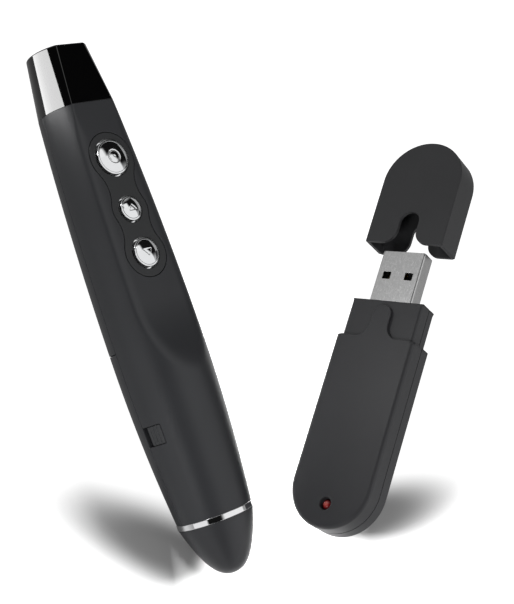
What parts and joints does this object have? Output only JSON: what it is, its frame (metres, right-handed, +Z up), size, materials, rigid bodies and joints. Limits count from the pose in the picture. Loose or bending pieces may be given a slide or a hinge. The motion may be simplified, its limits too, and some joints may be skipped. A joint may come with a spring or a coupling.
{
  "type": "wireless presentation clicker",
  "caption": "Pen-shaped presentation clicker with round page and laser buttons and a slide switch, beside its capped USB receiver with the cap pulled off.",
  "frame": {"origin": "on the table, under the middle of the set's box", "axes": "+Z up from the table; +Y along the receiver, from its round end to its plug; +X to the side away from the handset"},
  "size_m": [0.1142, 0.1194, 0.0225],
  "materials": {
    "charcoal": "fine matte, soft to the touch",
    "panel_black": "satin",
    "gloss_black": "high gloss",
    "chrome": "bright",
    "knob_black": "satin",
    "steel": "plated",
    "board": "solder mask",
    "chip": "matte",
    "brass": "bright",
    "clear": "clear",
    "cell": "wrapped",
    "red_lens": "clear red"
  },
  "bodies": {
    "handset": {"front_shell": "charcoal", "rear_shell": "charcoal", "end_cap": "gloss_black", "button_panel": "panel_black", "switch_case": "steel", "circuit_board": "board", "laser_tact": "chip", "page_up_tact": "chip", "page_down_tact": "chip", "radio_chip": "chip", "crystal": "steel", "laser_module": "brass", "laser_lens": "clear", "battery": "cell", "battery_spring": "steel", "spring_contact": "steel", "button_contact": "steel", "nose_ring": "chrome", "nose": "charcoal"},
    "laser_key": {"laser_button": "chrome"},
    "page_up_key": {"page_up_button": "chrome"},
    "page_down_key": {"page_down_button": "chrome"},
    "switch": {"switch_knob": "knob_black"},
    "door": {"battery_door": "charcoal"},
    "receiver": {"receiver_front": "charcoal", "receiver_back": "charcoal", "receiver_board": "board", "receiver_chip": "chip", "lamp_lens": "red_lens", "plug_shell": "steel", "plug_tongue": "chip", "plug_contacts": "brass"},
    "cap": {"receiver_cap": "charcoal"}
  },
  "joints": [
    {"name": "laser_press", "type": "slide", "parent": "handset", "child": "laser_key", "axis": [-0.2405, -0.2213, -0.9451], "range_m": [0, 0.0004], "stiffness_N_per_m": 800},
    {"name": "page_up_press", "type": "slide", "parent": "handset", "child": "page_up_key", "axis": [-0.2405, -0.2213, -0.9451], "range_m": [0, 0.0004], "stiffness_N_per_m": 800},
    {"name": "page_down_press", "type": "slide", "parent": "handset", "child": "page_down_key", "axis": [-0.2405, -0.2213, -0.9451], "range_m": [0, 0.0004], "stiffness_N_per_m": 800},
    {"name": "switch_slide", "type": "slide", "parent": "handset", "child": "switch", "axis": [-0.3738, -0.3099, -0.8742], "range_m": [0, 0.001]},
    {"name": "door_lift", "type": "slide", "parent": "handset", "child": "door", "axis": [-0.2513, -0.2083, -0.9452], "range_m": [0, 0.015]},
    {"name": "receiver_lift", "type": "slide", "parent": "handset", "child": "receiver", "axis": [0, 0, 1], "range_m": [0, 0.06]},
    {"name": "cap_slide", "type": "slide", "parent": "receiver", "child": "cap", "axis": [0, 1, 0], "range_m": [-0.02545, 0.01]}
  ]
}
